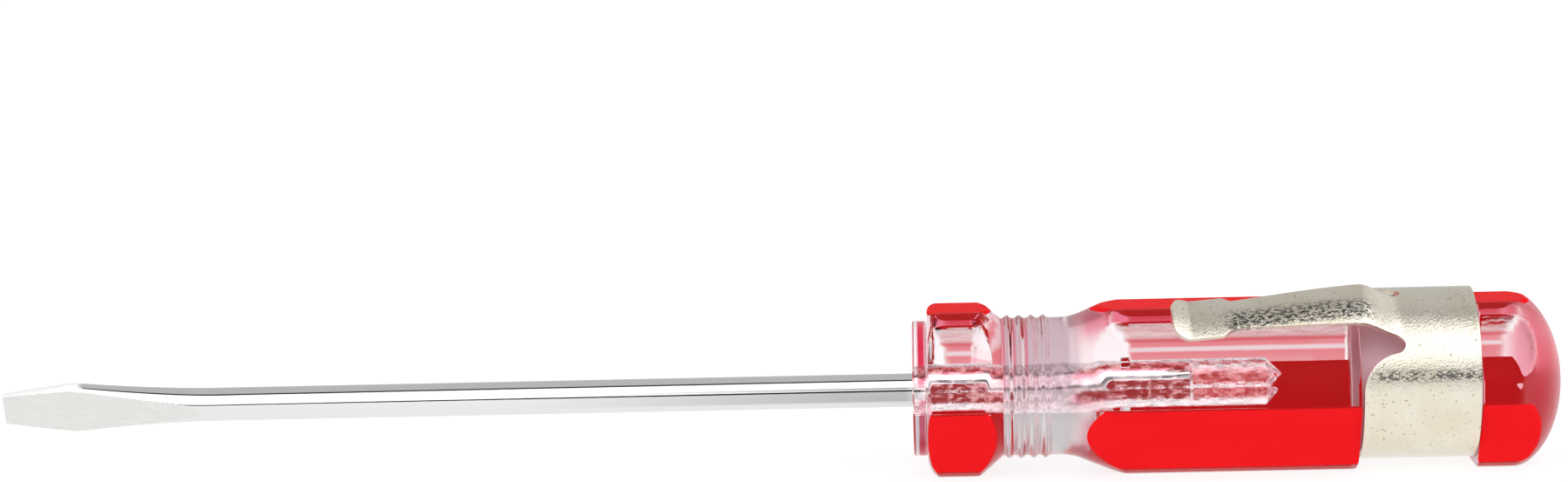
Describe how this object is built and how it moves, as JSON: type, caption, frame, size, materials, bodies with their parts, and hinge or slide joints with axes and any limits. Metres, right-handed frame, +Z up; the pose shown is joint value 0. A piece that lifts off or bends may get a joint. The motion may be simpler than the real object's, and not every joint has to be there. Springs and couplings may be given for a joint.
{
  "type": "pocket screwdriver",
  "caption": "Slotted pocket screwdriver: thin plated blade in a clear six-sided handle with red flats and a turning metal pocket clip.",
  "frame": {"origin": "middle of the blade's end, on the axis of the shank", "axes": "+X along the shank from the blade's end to the handle; +Z up, with the tool lying on the lowest clear flat of its handle; +Y to the back, away from the clip's arm"},
  "size_m": [0.1294, 0.0151, 0.0156],
  "materials": {
    "clear_plastic": "polished clear plastic",
    "red_plastic": "glossy opaque red plastic",
    "blade_steel": "plated shank with a brushed ground end",
    "clip_nickel": "bright nickel plating on spring steel"
  },
  "bodies": {
    "handle_body": {"handle": "clear_plastic", "blade": "blade_steel", "collar_panel_top": "red_plastic", "collar_panel_front": "red_plastic", "collar_panel_back": "red_plastic", "body_panel_top": "red_plastic", "body_panel_front": "red_plastic", "body_panel_back": "red_plastic", "cap_panel_top": "red_plastic", "cap_panel_front": "red_plastic", "cap_panel_back": "red_plastic"},
    "ring_body": {"clip_ring": "clip_nickel"},
    "arm_body": {"clip_arm": "clip_nickel"}
  },
  "joints": [
    {"name": "clip_turn", "type": "hinge", "parent": "handle_body", "child": "ring_body", "pos_m": [0.1176, 0, 0], "axis": [1, 0, 0], "continuous": true},
    {"name": "clip_flex", "type": "hinge", "parent": "ring_body", "child": "arm_body", "pos_m": [0.11625, -0.00494, 0.00633], "axis": [0, 0.788, 0.6157], "range_deg": [0, 7], "stiffness_Nm_per_rad": 0.76}
  ]
}
